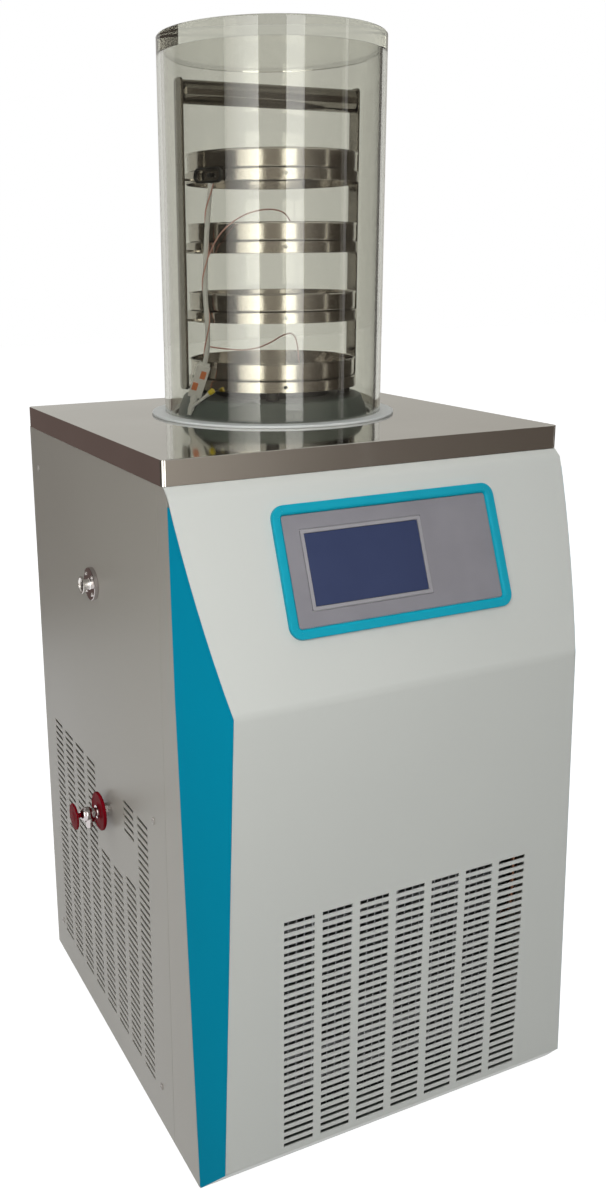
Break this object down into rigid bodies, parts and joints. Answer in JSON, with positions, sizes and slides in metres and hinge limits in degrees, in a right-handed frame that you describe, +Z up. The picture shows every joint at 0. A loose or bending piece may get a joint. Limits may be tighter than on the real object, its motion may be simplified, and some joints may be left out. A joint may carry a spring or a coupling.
{
  "type": "freeze dryer",
  "caption": "Cabinet with a slanted control panel and slotted grille, a steel top over a cold trap, and a clear bell jar that covers a rack of round trays.",
  "frame": {"origin": "on the floor, under the middle of the whole machine with its side and rear fittings", "axes": "+Z up, -Y towards the control panel, +X to the right seen from the front"},
  "size_m": [0.522, 0.561, 1.236],
  "materials": {
    "polished_steel": "polished, folded",
    "white_paint": "smooth powder coat",
    "gray_paint": "smooth powder coat",
    "blue_paint": "smooth powder coat",
    "zinc_steel": "zinc plated sheet",
    "black_paint": "black paint",
    "blue_plastic": "moulded",
    "gray_overlay": "satin film",
    "light_border": "satin",
    "screen": "dark touch screen, switched off",
    "clear_acrylic": "clear, polished",
    "seal_rubber": "soft, matt",
    "gray_plastic": "turned",
    "dark_plastic": "moulded",
    "rack_steel": "pressed and polished",
    "turned_steel": "turned and polished",
    "red_plastic": "moulded",
    "foam": "rigid foam",
    "copper": "drawn copper",
    "fins": "pressed fins",
    "black_rubber": "moulded",
    "white_sleeve": "soft sleeve",
    "pink_sleeve": "thin insulation"
  },
  "bodies": {
    "cabinet": {"back_panel": "gray_paint", "base_plate": "zinc_steel", "bell_jar": "clear_acrylic", "cold_trap": "polished_steel", "compressor": "black_paint", "compressor_mounts": "black_rubber", "condenser": "fins", "control_box": "dark_plastic", "copper_lines": "copper", "display_frame": "blue_plastic", "display_overlay": "gray_overlay", "drain_lock_disc": "red_plastic", "drain_nut": "turned_steel", "drain_pipe": "turned_steel", "drain_valve_body": "turned_steel", "evaporator_coil": "copper", "fan_motor": "black_paint", "fan_shroud": "black_paint", "feet": "black_rubber", "filter_drier": "copper", "front_panel": "white_paint", "jar_seal": "seal_rubber", "left_cheek": "gray_paint", "left_corner_facet": "blue_paint", "left_side_panel": "gray_paint", "mains_box": "dark_plastic", "mains_inlet": "dark_plastic", "panel_screws": "turned_steel", "power_switch": "dark_plastic", "rack_foot_ring": "gray_plastic", "rack_handle": "rack_steel", "rack_legs": "rack_steel", "rack_posts": "dark_plastic", "right_cheek": "gray_paint", "right_corner_facet": "blue_paint", "right_side_panel": "gray_paint", "screen_border": "light_border", "sensor_bundle": "white_sleeve", "sensor_clip": "dark_plastic", "sensor_lead_lower": "pink_sleeve", "sensor_lead_upper": "pink_sleeve", "sensor_plug": "white_sleeve", "shelf_1": "rack_steel", "shelf_2": "rack_steel", "shelf_3": "rack_steel", "shelf_4": "rack_steel", "steel_top_plate": "polished_steel", "touch_screen": "screen", "trap_insulation": "foam", "tray_1": "rack_steel", "tray_2": "rack_steel", "tray_3": "rack_steel", "tray_4": "rack_steel", "vacuum_pipe": "turned_steel", "vacuum_port": "turned_steel", "vacuum_port_screws": "turned_steel", "welded_frame": "zinc_steel"},
    "fan": {"fan_blades": "dark_plastic"},
    "knob": {"drain_valve_knob": "red_plastic"},
    "rocker": {"power_rocker": "red_plastic"}
  },
  "joints": [
    {"name": "fan_spin", "type": "hinge", "parent": "cabinet", "child": "fan", "pos_m": [0.021, -0.1815, 0.2], "axis": [0, 1, 0], "continuous": true},
    {"name": "drain_knob_turn", "type": "hinge", "parent": "cabinet", "child": "knob", "pos_m": [-0.254, 0.0215, 0.343], "axis": [1, 0, 0], "range_deg": [0, 90]},
    {"name": "power_switch_tilt", "type": "hinge", "parent": "cabinet", "child": "rocker", "pos_m": [0.171, 0.2715, 0.175], "axis": [1, 0, 0], "range_deg": [0, 16]}
  ]
}
